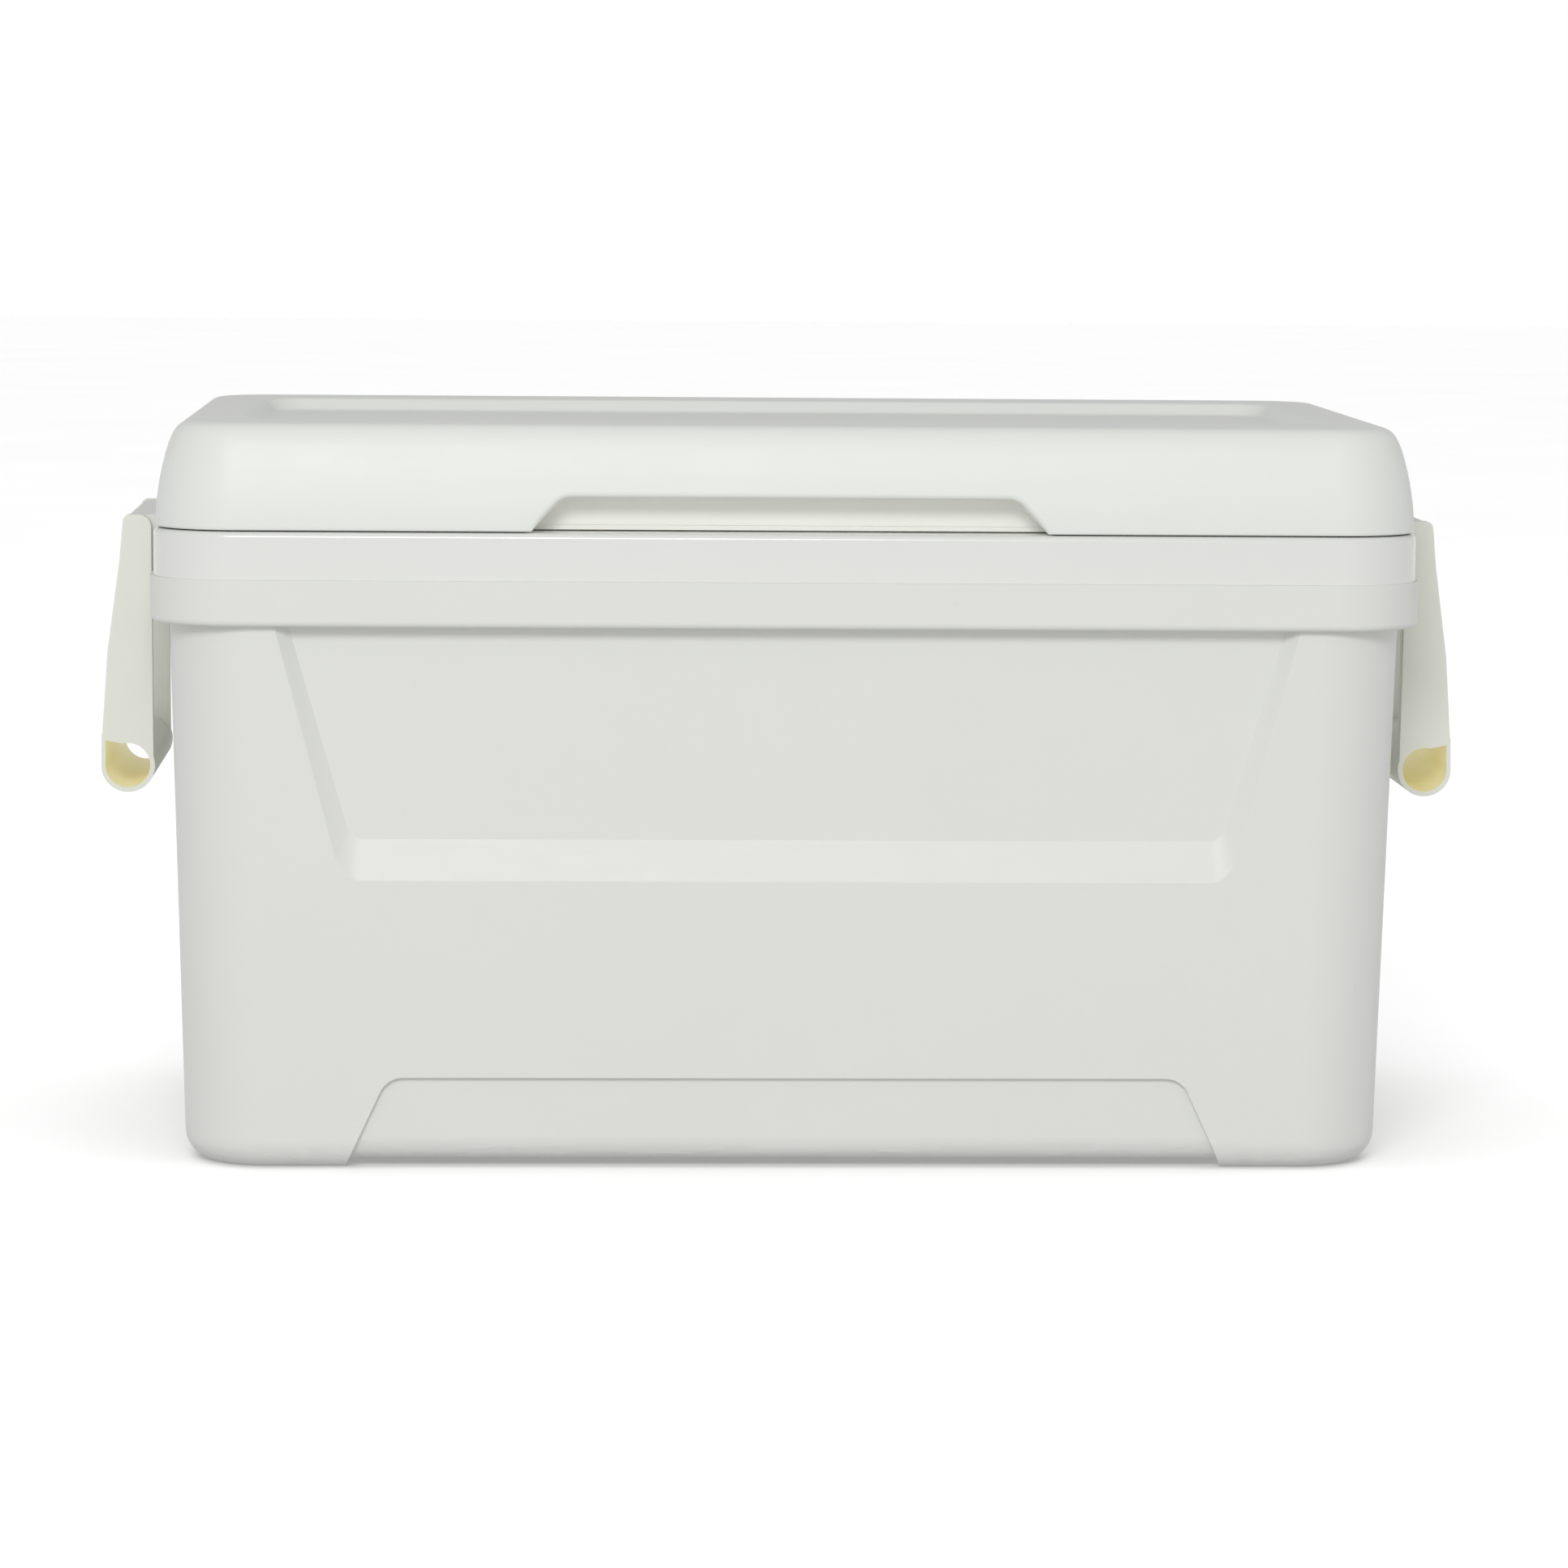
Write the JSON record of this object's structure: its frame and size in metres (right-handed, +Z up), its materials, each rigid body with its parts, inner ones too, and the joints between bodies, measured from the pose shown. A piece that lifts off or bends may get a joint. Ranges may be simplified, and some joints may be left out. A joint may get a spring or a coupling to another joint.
{
  "type": "cooler chest",
  "caption": "White insulated cooler chest with a hinged lid, a dished lid top, a front finger notch and a swing-up bail handle with a hollow grip at each end.",
  "frame": {"origin": "middle of the underside of the whole chest, hinges included, at floor level", "axes": "+Z up, +X along the length towards the right handle, -Y towards the front with the finger notch"},
  "size_m": [0.6526, 0.3626, 0.349],
  "materials": {
    "shell_plastic": "satin",
    "liner_plastic": "gloss",
    "lid_plastic": "satin",
    "foam": "matte",
    "handle_plastic": "satin",
    "bracket_plastic": "satin",
    "hinge_plastic": "satin",
    "rod_steel": "satin",
    "screw_steel": "satin"
  },
  "bodies": {
    "chest": {"outer_shell": "shell_plastic", "inner_liner": "liner_plastic", "body_foam": "foam", "handle_bracket_left": "bracket_plastic", "handle_bracket_right": "bracket_plastic", "handle_pivot_rod_left": "rod_steel", "handle_pivot_rod_right": "rod_steel", "bracket_screws_left": "screw_steel", "bracket_screws_right": "screw_steel", "hinge_body_leaf_left": "hinge_plastic", "hinge_body_leaf_right": "hinge_plastic", "hinge_pin_left": "rod_steel", "hinge_pin_right": "rod_steel", "hinge_body_screws": "screw_steel"},
    "lid": {"lid_shell": "lid_plastic", "lid_inner_panel": "liner_plastic", "lid_foam": "foam", "hinge_lid_leaf_left": "hinge_plastic", "hinge_lid_leaf_right": "hinge_plastic", "hinge_lid_screws": "screw_steel"},
    "left_handle": {"handle_left": "handle_plastic"},
    "right_handle": {"handle_right": "handle_plastic"}
  },
  "joints": [
    {"name": "lid_hinge", "type": "hinge", "parent": "chest", "child": "lid", "pos_m": [0, 0.17705, 0.3006], "axis": [-1, 0, 0], "range_deg": [0, 100]},
    {"name": "left_handle_swing", "type": "hinge", "parent": "chest", "child": "left_handle", "pos_m": [-0.3082, -0.00445, 0.289], "axis": [0, 1, 0], "range_deg": [0, 90]},
    {"name": "right_handle_swing", "type": "hinge", "parent": "chest", "child": "right_handle", "pos_m": [0.3082, -0.00445, 0.289], "axis": [0, -1, 0], "range_deg": [0, 90]}
  ]
}
